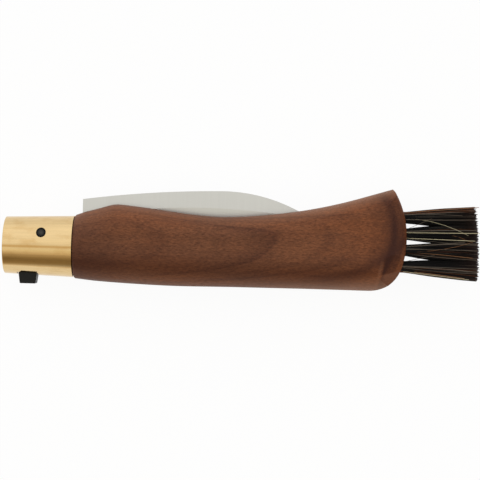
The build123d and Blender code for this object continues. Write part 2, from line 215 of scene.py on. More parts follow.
# The hairs are longest at this height, and shorter by this much times the square of the distance
# from it. More of them are short than long by this power. They end in ragged clumps, in two waves
# of this depth and these lengths across the rows.
LONGEST_Y = -5.0
SHORTER = 0.0052
UNEVEN_POWER = 0.6
CLUMP_DEPTH = 0.17
CLUMP_PITCHES = (0.7, 1.13)
# No hair ends nearer than this to the end of the knife's box, for which up to this much of the
# longest is trimmed.
TIP_ROOM = 0.05
TIP_TRIM = 0.3
# The rings along a hair, 0 at the mouth of its hole to 1 at its tip. The first lies in the hole,
# this far from its bottom.
HAIR_RINGS = (0, 0, 0.08, 0.18, 0.3, 0.44, 0.6, 0.8, 1)
ROOT_DEPTH = 0.5
# Hairs that lie on top of the brush, in the tufts of this column: their row, their root's and tip's
# share of the row's half width, their length's share, how late they bend (1 is straight), their
# colour and their share of the diameter.
TOP_COLUMN = "column3"
STRAY_HAIRS = (
    ("row3", 0.23, 0.16, 1.0, 1.0, "ivory", 0.9),
    ("row3", -0.78, -0.67, 0.93, 1.0, "ivory", 0.8),
    ("row3", 0.5, -0.87, 0.9, 3.0, "tan", 0.6),
    ("row3", 0.9, 1.7, 0.33, 1.0, "grey", 0.7),
    ("row4", -0.28, -2.06, 0.84, 1.9, "ivory", 0.55),
    ("row4", 0.88, 0.97, 0.97, 1.0, "tan", 0.9),
    ("row4", 0.6, 0.1, 0.75, 1.5, "grey", 0.8),
    ("row2", 0.75, 1.15, 0.79, 1.0, "grey", 0.9),
    ("row2", -0.17, 1.08, 0.86, 2.0, "tan", 0.55),
    ("row2", -0.33, -0.54, 0.9, 1.6, "tan", 0.9),
    ("row1", 0.2, 0.32, 1.0, 1.0, "grey", 0.9),
    ("row1", 0.97, 1.5, 0.4, 1.0, "grey", 0.7),
    ("row1", -0.83, -0.9, 0.86, 1.0, "ivory", 0.7),
    ("row1", -0.7, -0.8, 0.8, 1.3, "tan", 0.9),
)
# How far up its hole's circle such a hair starts, 1 being on it, and how far it bows up. Their
# tips lie at this share of the tuft's half height.
STRAIGHT_STRAY = (1.0, 0.35)
BENT_STRAY = (0.8, 0.6)
STRAY_TIP_HEIGHT = 1.1

# The room's light by the angle from straight up towards -Y, in degrees: bright on the spine's side
# and overhead, and a dark wall on the other side, which the brass shows as its dark band.
WALLS = (
    (-90, (0.95, 0.95, 0.95)), (-60, (1.05, 1.05, 1.05)), (-40, (1.0, 1.0, 1.0)),
    (-18, (0.98, 0.97, 0.94)), (-7, (0.92, 0.9, 0.86)), (4, (0.87, 0.84, 0.77)),
    (10, (0.87, 0.83, 0.74)), (17, (0.88, 0.83, 0.68)), (29, (0.71, 0.68, 0.61)),
    (38, (0.46, 0.43, 0.38)), (47, (0.32, 0.3, 0.26)), (56, (0.23, 0.21, 0.18)),
    (72, (0.27, 0.245, 0.2)), (79, (0.36, 0.33, 0.27)), (86, (0.6, 0.54, 0.47)),
    (90, (0.88, 0.8, 0.72)),
)
# The place that the camera looks at, and the floor's half width.
VIEW_CENTRE = (62.7, -0.65)
FLOOR_HALF = 1500.0
# The share of the floor's own white that the camera and reflections see, the rest being its shadow.
FLOOR_GLOW = 0.94


def linear(code):
    """The linear colour of an sRGB hex code: each channel goes through the sRGB curve backwards."""
    channels = [int(code[at : at + 2], 16) / 255 for at in (1, 3, 5)]
    return tuple(c / 12.92 if c <= 0.04045 else ((c + 0.055) / 1.055) ** 2.4 for c in channels)


def colour(name, description, code):
    """A colour setting whose default is an sRGB hex code."""
    return FloatVectorProperty(
        name=name, description=description, subtype="COLOR", default=linear(code), min=0, max=1
    )


def length(name, description, size):
    """A length setting whose default is given in millimetres."""
    return FloatProperty(
        name=name, description=description, default=size * MM, min=0, unit="LENGTH", precision=5
    )


class WalnutSettings(bpy.types.PropertyGroup):
    """The handle's walnut."""

    brown: colour("Brown", "Heartwood brown of the broad figure", "#72462d")
    red: colour("Red", "Redder patches, most of them towards the butt", "#7f4929")
    # Also the painted shade of the band along the lower side and of its finer line.
    dark: colour("Dark", "Latewood, pores and the dark band", "#38170d")
    # The end grain's own darker colour, which also paints the shade of the butt's rounding.
    soaked_and_shade: colour("Soaked", "End grain, which drinks the most oil", "#2b0b06")
    # Paints the light on the butt's lower facet: a greyer brown where no end grain darkens it.
    worn: colour("Worn", "The butt's lower corner, where the oil has worn off", "#684739")
    # A painted pale sheen on the rounded edges, and the painted highlight along the butt's crease.
    edge_sheen: colour("Rubbed", "The rounded edges, which hands have rubbed pale", "#a17861")
    ring_width: length("Ring width", "Thickness of a year's growth", 3.8)
    # Real pores are at most 0.2 mm wide, too fine to show, so these are drawn wider.
    pore_length: length("Pore length", "Length of a pore along the grain", 1.2)
    pore_width: length("Pore width", "Width of a pore across the grain", 0.3)


class MetalSettings(bpy.types.PropertyGroup):
    """The brass ferrule, the blade and the small steel pieces."""

    brass: colour("Brass", "Polished brass", "#dfc28f")
    # A painted dark line of reflection along the brass.
    dark_reflection: colour("Scored", "The one dark draw line along the tube", "#b98a40")
    tarnish: colour("Tarnish", "Brass where it has dulled", "#c49a5c")
    # A painted warmer reflection where the brass mirrors the room's dark side.
    warm_reflection: colour("Thumbed", "Brass darkened by thumbs along its lower side", "#dfaf67")
    steel: colour("Steel", "Satin blade steel", "#cbccca")
    spring: colour("Spring steel", "The lock ring, the screw and the bristles' strips", "#b9b9b6")
    oxide: colour("Oxide", "The pin's black oxide", "#0e0f10")
    # Paints the sheen on the middle of the pin's end.
    oxide_sheen: colour("Worn oxide", "The pin's end where it is worn", "#555450")
    # Real drawn and ground lines lie about 0.1 mm apart, too fine to show, so these are coarser.
    drawing_pitch: length("Drawing pitch", "Between the fine lines along the drawn tube", 0.5)
    satin_pitch: length("Satin pitch", "Between the satin lines across the blade", 0.6)
    spring_pitch: length("Spring pitch", "Between the ground lines of the spring steel", 0.2)


class ButtonSettings(bpy.types.PropertyGroup):
    """The black thumb button."""

    black: colour("Black", "The plastic in the dips of its grain", "#050505")
    raised: colour("Raised", "The plastic on the tops of its grain", "#121111")
    # Real grain of this kind is about 0.1 mm, too fine to show, so this is coarser.
    grain: length("Grain", "Size of the matt grain", 0.35)


class BrushSettings(bpy.types.PropertyGroup):
    """The boar-bristle tufts."""

    hairs: IntProperty(name="Hairs", description="Hairs in each tuft", default=360, min=20, max=900)
    hair: length("Hair", "Diameter of a hair at its root", 0.19)
    uneven: length("Uneven", "How much shorter than the longest the shortest hair is cut", 0.6)
    spread: length("Spread", "Half width of a tuft at its tips, across the rows", 2.92)
    black: colour("Black", "Most of the hairs", "#0b0a0b")
    brown: colour("Brown", "The brown hairs", "#54321f")
    tan: colour("Tan", "The light brown stray hairs", "#91694a")
    grey: colour("Grey", "The grey hairs", "#5d554c")
    ivory: colour("Ivory", "The pale stray hairs", "#d2c8a6")
    seed: IntProperty(name="Seed", description="Number that starts the random draws", default=7)


class StageSettings(bpy.types.PropertyGroup):
    """The studio: a pale floor, soft light and the camera above the knife."""

    floor: colour("Floor", "Paper that the knife lies on", "#fafafa")
    distance: FloatProperty(
        name="Distance", description="From the knife's middle plane up to the camera",
        default=0.51, min=0.1, unit="LENGTH",
    )
    view_width: length("View width", "Width of the picture at the knife's middle plane", 153.6)
    roll: FloatProperty(
        name="Roll", description="Turn of the camera about its view",
        default=math.radians(1.6), subtype="ANGLE",
    )
    room: FloatProperty(
        name="Room", description="Strength of the room's soft light", default=1.12, min=0
    )


def add(tree, kind, *inputs, named=None, stops=(), **settings):
    """Adds a shader node and gives back its first live output. Inputs are numbers, colours or
    sockets, in the order of its live sockets (None skips one) or by name. Stops are a ramp's places
    and their greys or colours."""
    node = tree.nodes.new("ShaderNode" + kind)
    for name, value in settings.items():
        setattr(node, name, value)
    live = [socket for socket in node.inputs if socket.enabled]
    by_name = [(node.inputs[name], value) for name, value in (named or {}).items()]
    for socket, value in [*zip(live, inputs), *by_name]:
        if isinstance(value, bpy.types.NodeSocket):
            tree.links.new(value, socket)
        elif value is not None:
            opaque = socket.type == "RGBA" and len(value) == 3
            socket.default_value = (*value, 1) if opaque else value
    for index, (place, tint) in enumerate(stops):
        ramp = node.color_ramp.elements
        stop = ramp[index] if index < len(ramp) else ramp.new(place)
        stop.position = place
        stop.color = (*tint, 1) if isinstance(tint, tuple) else (tint, tint, tint, 1)
    outputs = [socket for socket in node.outputs if socket.enabled]
    return outputs[0] if outputs else node


def new_material(name):
    """An empty material and its node tree."""
    material = bpy.data.materials.new(name)
    material.use_nodes = True
    material.node_tree.nodes.clear()
    return material, material.node_tree


def finish(tree, sockets):
    """Closes a material with its shader, whose sockets, by name, are set to values or linked."""
    add(tree, "OutputMaterial", add(tree, "BsdfPrincipled", named=sockets))


def millimetres(tree):
    """The object's coordinates in millimetres."""
    place = add(tree, "TexCoord").node.outputs["Object"]
    return add(tree, "VectorMath", place, named={"Scale": 1 / MM}, operation="SCALE")


def flecks(tree, place, sizes, detail=2.0, roughness=0.5, shift=(0, 0, 0)):
    """Random soft flecks, 0 to 1, of a size in millimetres along each axis: noise on coordinates
    divided by the sizes."""
    mapped = add(tree, "Mapping", place, shift, None, tuple(1 / size for size in sizes))
    settings = {"Scale": 1.0, "Detail": detail, "Roughness": roughness}
    return add(tree, "TexNoise", mapped, named=settings)


def from_axis(tree, place, axis):
    """How far a place is from an upright axis through another one."""
    way = add(tree, "VectorMath", place, axis, operation="SUBTRACT")
    way = add(tree, "VectorMath", way, (1, 1, 0), operation="MULTIPLY")
    return add(tree, "VectorMath", way, operation="LENGTH")


def blend(tree, tint, other, share, most=1.0):
    """A colour that goes up to `most` of the way to another by a share."""
    way = add(tree, "Math", share, most, operation="MULTIPLY")
    return add(tree, "Mix", way, tint, other, data_type="RGBA")


def shade(tree, tint, fleck, depth):
    """A colour made lighter and darker by flecks: multiplied by 1 - depth / 2 to 1 + depth / 2."""
    value = add(tree, "Math", fleck, depth, 1 - depth / 2, operation="MULTIPLY_ADD")
    grey = add(tree, "CombineColor", value, value, value)
    return add(tree, "Mix", 1.0, tint, grey, data_type="RGBA", blend_type="MULTIPLY")


def growth_rings(tree, place, x, ring_width):
    """How dark the year's rings make the wood. Years are the distance from the tree's heart plus
    the taper times X, less the first ring's radius, over the ring's width. Their fraction goes
    through the year's profile. Patches and both ends of the handle weaken it."""
    wander = flecks(tree, place, sizes=(60, 26, 26), detail=1.0).node.outputs["Color"]
    shift, turn = (0, -HEART_OFFSET, -HEART_HEIGHT), (0, 0, -HEART_DRIFT)
    heart = add(tree, "Mapping", place, shift, turn)
    heart = add(tree, "VectorMath", wander, RING_WANDER, heart, operation="MULTIPLY_ADD")
    across = add(tree, "VectorMath", heart, (0, 1, 1), operation="MULTIPLY")
    radius = add(tree, "VectorMath", across, operation="LENGTH")
    radius = add(tree, "Math", x, RING_TAPER, radius, operation="MULTIPLY_ADD")
    years = add(tree, "Math", radius, RING_RADIUS, operation="SUBTRACT")
    years = add(tree, "Math", years, ring_width / MM, operation="DIVIDE")
    rings = add(tree, "ValToRGB", add(tree, "Math", years, operation="FRACT"), stops=YEAR)
    patches = flecks(tree, place, sizes=(30, 14, 14), shift=(8, 2, 6))
    patches = add(tree, "ValToRGB", patches, stops=((0.3, 0.4), (0.6, 1.0)))
    rise = add(tree, "MapRange", x, *RINGS_RISE)
    fade = add(tree, "MapRange", x, *RINGS_FADE)
    for strength in (patches, rise, fade):
        rings = add(tree, "Math", rings, strength, operation="MULTIPLY")
    return rings


def painted_low_shade(tree, place, x, y):
    """How dark the painted shade of the lower side's band makes the wood, and its finer line."""
    past_end = add(tree, "Math", x, LOW_BAND_END, operation="SUBTRACT")
    past_end = add(tree, "Math", past_end, 0.0, operation="MAXIMUM")
    rise = add(tree, "Math", past_end, 2.0, operation="POWER")
    across = add(tree, "Math", x, LOW_BAND_SLOPE, y, operation="MULTIPLY_ADD")
    across = add(tree, "Math", rise, -LOW_BAND_RISE, across, operation="MULTIPLY_ADD")
    across = add(tree, "Math", across, LOW_BAND_Y, operation="SUBTRACT")
    across = add(tree, "MapRange", across, -LOW_BAND_REACH, LOW_BAND_REACH)
    patches = flecks(tree, place, sizes=(22, 9, 9), shift=(2, 5, 3))
    patches = add(tree, "ValToRGB", patches, stops=((0.3, 0.8), (0.6, 1.0)))
    band = add(tree, "ValToRGB", across, stops=LOW_BAND)
    band = add(tree, "Math", band, patches, operation="MULTIPLY")
    shade_streak = add(tree, "ValToRGB", across, stops=SHADE_STREAK)
    near_butt = add(tree, "MapRange", x, *SHADE_STREAK_START)
    return band, add(tree, "Math", shade_streak, near_butt, operation="MULTIPLY")


def end_grain_and_shade(tree, place, x, y):
    """How dark the butt's end grain is, partly its own colour and partly painted shade, with
    painted shade in the crease past the flat; how far its lower corner is painted as a lit
    facet; and how strong the painted highlight is where the butt meets the flat. The bands
    follow the distance inwards from the rim's circle."""
    from_centre = from_axis(tree, place, (*BUTT_CENTRE, 0))
    inwards = add(tree, "Math", BUTT_RADIUS, from_centre, operation="SUBTRACT")
    down = add(tree, "Math", END_GRAIN_LOW_Y, y, operation="SUBTRACT")
    down = add(tree, "Math", down, 0.0, operation="MAXIMUM")
    inwards = add(tree, "Math", down, -END_GRAIN_LOW_SHIFT, inwards, operation="MULTIPLY_ADD")
    inwards = add(tree, "MapRange", inwards, 0.0, END_GRAIN_DEPTH)
    grain = add(tree, "ValToRGB", inwards, stops=END_GRAIN)

    # `above` is 1 above the corner's line and 0 below it.
    corner_line = CORNER[1] - CORNER_SLOPE * CORNER[0]
    above = add(tree, "Math", x, -CORNER_SLOPE, y, operation="MULTIPLY_ADD")
    above = add(tree, "MapRange", above, corner_line - CORNER_SOFT, corner_line + CORNER_SOFT)
    along = add(tree, "Math", y, -FLAT_END_SLOPE, x, operation="MULTIPLY_ADD")
    past_flat = add(tree, "MapRange", along, *FLAT_END)
    below = add(tree, "Math", 1.0, above, operation="SUBTRACT")
    lit_facet = add(tree, "Math", below, past_flat, operation="MULTIPLY")
    # Painted shade in the crease: a strip past the flat's end where the end grain still shows.
    crease_shade_end = FLAT_END[1] + CREASE_SHADE_WIDTH
    crease_shade = add(tree, "MapRange", along, FLAT_END[1], crease_shade_end, CREASE_SHADE_STRENGTH, 0.0)
    shown = add(tree, "Math", above, crease_shade, operation="MAXIMUM")

    low_side = add(tree, "MapRange", y, *FLAT_HEIGHTS)
    on_flat = add(tree, "MapRange", along, *FLAT_END, 1.0, 0.0)
    on_flat = add(tree, "Math", on_flat, low_side, operation="MULTIPLY")
    off_flat = add(tree, "Math", on_flat, -FLAT_SPARED, 1.0, operation="MULTIPLY_ADD")
    high = add(tree, "MapRange", y, *END_GRAIN_HIGH)
    start = add(tree, "MapRange", x, *END_GRAIN_START)
    for share in (shown, high, off_flat, start):
        grain = add(tree, "Math", grain, share, operation="MULTIPLY")

    # Painted highlight: a pale line on the flat's side of the crease.
    arris_highlight = add(tree, "Math", along, FLAT_END[0] - ARRIS_OFFSET, operation="SUBTRACT")
    arris_highlight = add(tree, "MapRange", add(tree, "Math", arris_highlight, operation="ABSOLUTE"), *ARRIS_FADE)
    return grain, lit_facet, add(tree, "Math", arris_highlight, low_side, operation="MULTIPLY")


def oiled_walnut(s):
    """Black walnut, carved, sanded and oiled: brown with redder patches, latewood that ends in a
    fine line, and short pores along the grain, under a faint sheen. A ring is a cone about the
    tree's heart, so the flat shows nested arches and the rounded edges lines along them. The
    butt's rounded end cuts across the grain and drinks more oil, which darkens it, less so at the
    rim; that darkening is also painted shade of the rounding. Painted light lies on the wood too:
    a pale sheen on the rounded edges, a highlight and shade along the butt's crease, a lit lower
    facet on the butt, and a dark band of shade along the lower side."""
    material, tree = new_material("oiled_walnut")
    place = add(tree, "VectorMath", millimetres(tree), PIVOT_MM, operation="SUBTRACT")
    x, y, _ = add(tree, "SeparateXYZ", place).node.outputs

    warmth = flecks(tree, place, sizes=(38, 14, 14), shift=(3, 9, 4))
    warmth = add(tree, "ValToRGB", warmth, stops=((0.42, 0.0), (0.66, 0.7)))
    redder = add(tree, "MapRange", x, *REDDER_RISE)
    warmth = add(tree, "Math", warmth, redder, operation="ADD", use_clamp=True)
    tint = blend(tree, s.brown, s.red, warmth)
    streaks = flecks(tree, place, sizes=(30, 1.4, 1.4), detail=4, roughness=0.6)
    streaky = add(tree, "ValToRGB", streaks, stops=((0.33, 1.0), (0.6, 0.0)))
    tint = blend(tree, tint, s.dark, streaky, most=0.2)
    tint = blend(tree, tint, s.dark, growth_rings(tree, place, x, s.ring_width), most=0.55)
    pore = (s.pore_length / MM, s.pore_width / MM, s.pore_width / MM)
    pores = flecks(tree, place, sizes=pore, roughness=0.6)
    pores = add(tree, "ValToRGB", pores, stops=((0.34, 1.0), (0.46, 0.0)))
    tint = blend(tree, tint, s.dark, pores, most=0.35)
    # Real fibres are too fine to show, so these are drawn as coarse as the pores.
    fibres =flecks(tree, place, sizes=(1.2, 0.42, 0.42), roughness=0.7, shift=(5, 1, 8))
    tint = shade(tree, tint, fibres, depth=1.7)

    grain, lit_facet, arris_highlight = end_grain_and_shade(tree, place, x, y)
    # Painted light: the butt's lower facet, which catches more light, blended towards a greyer
    # brown.
    tint = blend(tree, tint, s.worn, lit_facet, most=0.6)
    # End grain: partly its own colour and partly painted shade of the butt's rounding.
    tint = blend(tree, tint, s.soaked_and_shade, grain)
    # Painted sheen: the rounded edges are paler the more they face the spine's side or the lower
    # side.
    normal = add(tree, "SeparateXYZ", add(tree, "TexCoord").node.outputs["Normal"]).node.outputs
    edges = add(tree, "Math", normal[1], operation="ABSOLUTE")
    edges = add(tree, "ValToRGB", edges, stops=EDGE_SHEEN)
    tint = blend(tree, tint, s.edge_sheen, edges, most=add(tree, "MapRange", x, *EDGE_SHEEN_RISE))
    # Painted shade: the dark band along the lower side and its finer line near the butt.
    band, shade_streak = painted_low_shade(tree, place, x, y)
    tint = blend(tree, tint, s.dark, band, most=0.55)
    tint = blend(tree, tint, s.dark, shade_streak, most=0.35)
    # Painted highlight on the edge where the flat meets the butt's rounding.
    tint = blend(tree, tint, s.edge_sheen, arris_highlight, most=0.1)
    # Darker behind the ferrule on its lower side.
    darker_near_ferrule = add(tree, "MapRange", x, *NEAR_FERRULE_FADE)
    tint = blend(tree, tint, s.dark, darker_near_ferrule, most=add(tree, "MapRange", y, *NEAR_FERRULE_HEIGHTS))

    # Pores are dull and streaks uneven, and both dent the surface a little.
    rough = add(tree, "Math", streaks, *WOOD_ROUGH, operation="MULTIPLY_ADD")
    rough = add(tree, "Math", pores, PORES_ROUGH, rough, operation="MULTIPLY_ADD")
    height = add(tree, "Math", streaks, pores, operation="SUBTRACT")
    bump = add(tree, "Bump", named={"Height": height, "Distance": 0.02 * MM, "Strength": 0.6})
    finish(tree, {
        "Base Color": tint, "Roughness": rough, "IOR": 1.5, "Specular IOR Level": 0.2,
        "Normal": bump,
    })
    return material


def polished_brass(s):
    """Drawn and polished brass tube: it mirrors the room's bands, a little blurred by fine lines
    along it, and has soft duller patches, a painted warmer reflection along its dark band and one
    painted dark line of reflection."""
    material, tree = new_material("polished_brass")
    place = millimetres(tree)
    pitch = s.drawing_pitch / MM
    lines = flecks(tree, place, sizes=(45, pitch, pitch), detail=3, roughness=0.6)
    dull = flecks(tree, place, sizes=(7, 4, 4), detail=4, roughness=0.6)
    dull = add(tree, "ValToRGB", dull, stops=((0.48, 0.0), (0.72, 1.0)))
    from_pivot = add(tree, "VectorMath", place, PIVOT_MM, operation="SUBTRACT")
    y = add(tree, "SeparateXYZ", from_pivot).node.outputs[1]
    # Painted reflection: a warmer tint where the brass shows the room's dark band.
    warm_reflection = add(tree, "MapRange", y, *WARM_REFLECTION_HEIGHTS)
    tint = blend(tree, s.brass, s.warm_reflection, add(tree, "ValToRGB", warm_reflection, stops=WARM_REFLECTION))
    tint = blend(tree, tint, s.tarnish, dull, most=0.5)
    tint = shade(tree, tint, lines, depth=0.26)
    # Painted reflection: one dark line along the brass.
    dark_reflection_line = add(tree, "Math", y, DARK_REFLECTION_Y, operation="SUBTRACT")
    dark_reflection_line = add(tree, "Math", dark_reflection_line, operation="ABSOLUTE")
    tint = blend(tree, tint, s.dark_reflection, add(tree, "MapRange", dark_reflection_line, *DARK_REFLECTION_FADE))
    rough = add(tree, "Math", lines, *BRASS_ROUGH, operation="MULTIPLY_ADD")
    rough = add(tree, "Math", dull, DULL_ROUGH, rough, operation="MULTIPLY_ADD")
    bump = add(tree, "Bump", named={"Height": lines, "Distance": 0.006 * MM, "Strength": 0.25})
    finish(tree, {"Base Color": tint, "Metallic": 1.0, "Roughness": rough, "Normal": bump})
    return material


def ground_steel(name, pitch, tint, rough):
    """Ground stainless steel: satin lines across it make its shine soft and even."""
    material, tree = new_material(name)
    place = millimetres(tree)
    lines = flecks(tree, place, sizes=(pitch / MM, 40, 40), detail=3, roughness=0.65)
    cloud = flecks(tree, place, sizes=(16, 24, 24))
    tint = shade(tree, shade(tree, tint, lines, depth=0.1), cloud, depth=0.08)
    rough = add(tree, "Math", lines, STEEL_LINES_ROUGH, rough, operation="MULTIPLY_ADD")
    bump = add(tree, "Bump", named={"Height": lines, "Distance": 0.004 * MM, "Strength": 0.2})
    finish(tree, {"Base Color": tint, "Metallic": 1.0, "Roughness": rough, "Normal": bump})
    return material


def black_oxide_steel(s):
    """Black-oxidised steel, dressed flush: a black rim round a lighter middle, a painted sheen. Its
    scratches are coarser than real ones, which would be too fine to show."""
    material, tree = new_material("black_oxide_steel")
    place = millimetres(tree)
    scratches = flecks(tree, place, sizes=(1.0, 0.3, 0.3), detail=4, roughness=0.7)
    # Painted sheen: the pin's end is lighter towards its middle.
    middle = add(tree, "MapRange", from_axis(tree, place, PIVOT_MM), *PIN_SHEEN)
    tint = blend(tree, s.oxide, s.oxide_sheen, middle, most=scratches)
    rough = add(tree, "Math", scratches, *OXIDE_ROUGH, operation="MULTIPLY_ADD")
    finish(tree, {
        "Base Color": tint, "Metallic": 0.8, "Roughness": rough, "Specular IOR Level": 0.2,
    })
    return material


def moulded_black_plastic(s):
    """Injection-moulded black plastic with a fine matt grain that breaks up its shine."""
    material, tree = new_material("moulded_black_plastic")
    size = s.grain / MM
    grain = flecks(tree, millimetres(tree), sizes=(size, size, size), detail=3, roughness=0.6)
    rough = add(tree, "Math", grain, *PLASTIC_ROUGH, operation="MULTIPLY_ADD")
    bump = add(tree, "Bump", named={"Height": grain, "Distance": 0.02 * MM, "Strength": 0.5})
    finish(tree, {
        "Base Color": blend(tree, s.black, s.raised, grain), "Roughness": rough,
        "Specular IOR Level": 0.25, "Normal": bump,
    })
    return material


def boar_bristle():
    """Boar bristle: each hair's own colour under a smooth cuticle that gives it a bright line."""
    material, tree = new_material("boar_bristle")
    tone = add(tree, "Attribute", attribute_name="hair_colour")
    finish(tree, {"Base Color": tone, "Roughness": 0.4, "IOR": 1.55, "Specular IOR Level": 0.15})
    return material


def studio_paper(s):
    """White paper: to the camera and in reflections it shows white, less part of the shadow."""
    material, tree = new_material("studio_paper")
    paper = {"Base Color": s.floor, "Roughness": 0.9, "Specular IOR Level": 0.0}
    paper = add(tree, "BsdfPrincipled", named=paper)
    rays = add(tree, "LightPath").node.outputs
    seen = rays["Is Camera Ray"]
    for ray in ("Is Glossy Ray", "Is Transmission Ray"):
        seen = add(tree, "Math", seen, rays[ray], operation="MAXIMUM")
    share = add(tree, "Math", seen, FLOOR_GLOW, operation="MULTIPLY")
    glow = add(tree, "Emission", (1, 1, 1), 1.0)
    add(tree, "OutputMaterial", add(tree, "MixShader", share, paper, glow))
    return material


def dress(node, material):
    """Gives a CAD node's object one finish in all its material slots."""
    for slot in frame["nodes"][node].material_slots:
        slot.material = material


def rods(name, centres, radii, tones, sides=4):
    """A mesh of closed rods with a colour on each ring. A point of the surface is the path's point
    plus its radius times the cosine of the angle along Y and the sine along Z, for all rods, rings
    and sides."""
    count, rings = centres.shape[:2]
    angle = 2 * np.pi * np.arange(sides) / sides
    circle = np.stack([np.zeros(sides), np.cos(angle), np.sin(angle)], axis=1)
    points = centres[:, :, None, :] + radii[:, :, None, None] * circle
    index = np.arange(count * rings * sides).reshape(count, rings, sides)
    beside = np.roll(index, -1, axis=2)
    quads = np.stack([index[:, :-1], beside[:, :-1], beside[:, 1:], index[:, 1:]], axis=-1)
    caps = np.concatenate([index[:, 0, ::-1], index[:, -1]])
    mesh = bpy.data.meshes.new(name)
    mesh.from_pydata(points.reshape(-1, 3), [], [*quads.reshape(-1, 4).tolist(), *caps.tolist()])
    mesh.shade_smooth()
    paint = mesh.attributes.new("hair_colour", "FLOAT_COLOR", "POINT")
    shades = np.repeat(tones.reshape(-1, 3), sides, axis=0)
    paint.data.foreach_set("color", np.column_stack([shades, np.ones(len(shades))]).ravel())
    piece = bpy.data.objects.new(name, mesh)
    bpy.context.scene.collection.objects.link(piece)
    return piece


def points_of(node):
    """The points of a CAD node's mesh, one to a row."""
    mesh = frame["nodes"][node].data
    points = np.empty(len(mesh.vertices) * 3)
    mesh.vertices.foreach_get("co", points)
    return points.reshape(-1, 3)


def tuft_form(node):
    """A CAD tuft's root middle and radius, where it leaves the wood, its tips' middle and their
    half width along Z. It leaves the wood where the handle's points lie on its hole's edge."""
    points = points_of(node)
    low, high = points.min(axis=0), points.max(axis=0)
    root = points[points[:, 0] < low[0] + ROOT_NEAR * MM]
    tips = points[points[:, 0] > high[0] - TIPS_NEAR * MM]
    radius = (root[:, 1].max() - root[:, 1].min()) / 2
    middle = (root.min(axis=0) + root.max(axis=0)) / 2
    wood = points_of("handle")
    from_middle = np.hypot(wood[:, 1] - middle[1], wood[:, 2] - middle[2])
    near = np.abs(from_middle - radius) < MOUTH_NEAR * MM
    past = wood[:, 0] > low[0] + MOUTH_PAST * MM
    mouth = wood[near & past, 0].max()
    low, high = tips.min(axis=0), tips.max(axis=0)
    return middle, radius, mouth, (low + high) / 2, (high - low)[2] / 2


def hair_tones(node, brush, place, generator):
    """Each hair's colour, by its place across the row: black, brown by a chance that is a bell
    about the row's brown place, or grey."""
    count = len(place)
    kinds = generator.uniform(0, 1, count)
    peak, chance = next(value for row, value in BROWN_HAIRS.items() if row in node)
    chance = BROWN_ELSEWHERE + chance * np.exp(-(((place - peak) / BROWN_WIDTH) ** 2))
    tones = np.where((kinds < chance)[:, None], brush.brown, brush.black)
    tones = tones * generator.uniform(*BROWN_TONES, (count, 1))
    greys = np.multiply(generator.uniform(*GREY_TONES, (count, 1)), brush.grey)
    return np.where((kinds > GREY_FROM)[:, None], greys, tones)


def hair_leans(node, place, steps):
    """How far each hair has gone, at each ring, from its root's place in the tuft to its tip's,
    along Y and Z. With s for the way along it and p for the push, which drops to the open side's,
    that is p s / (1 + (p s)^4)^(1/4), scaled to end at 1. So the hairs spread out soon and then
    run on side by side."""
    side = next(value for row, value in OPEN_SIDE.items() if row in node)
    push = PUSH - (PUSH - OPEN_PUSH) * np.clip(place * side, 0, 1)
    pushed = push[:, None] * steps
    lean = pushed / (1 + pushed**4) ** 0.25
    return np.repeat((lean / lean[:, -1:])[:, :, None], 2, axis=2)


def lay_strays(node, brush, hairs, steps, mouth, reach):
    """Turns a tuft's first hairs into the row's strays on top of the brush. They lean as the way
    along them to the power of their bend, straight ones only across the rows, and bow up as half
    a sine wave."""
    strays = [stray for stray in STRAY_HAIRS if stray[0] in node]
    for index, (_, root, tip, share, bend, tone, thickness) in enumerate(strays):
        bent = bend > 1
        depth, bow = BENT_STRAY if bent else STRAIGHT_STRAY
        hairs.roots[index] = root, depth * math.sqrt(1 - root**2)
        hairs.tips[index] = tip, STRAY_TIP_HEIGHT
        hairs.leans[index, :, : 1 + bent] = (steps**bend)[:, None]
        hairs.tones[index] = getattr(brush, tone)
        hairs.waves[index] = np.outer(np.sin(np.pi * steps), (0, bow * MM))
        hairs.radii[index] = brush.hair / 2 * thickness
        hairs.ends[index] = mouth + (reach - mouth) * share


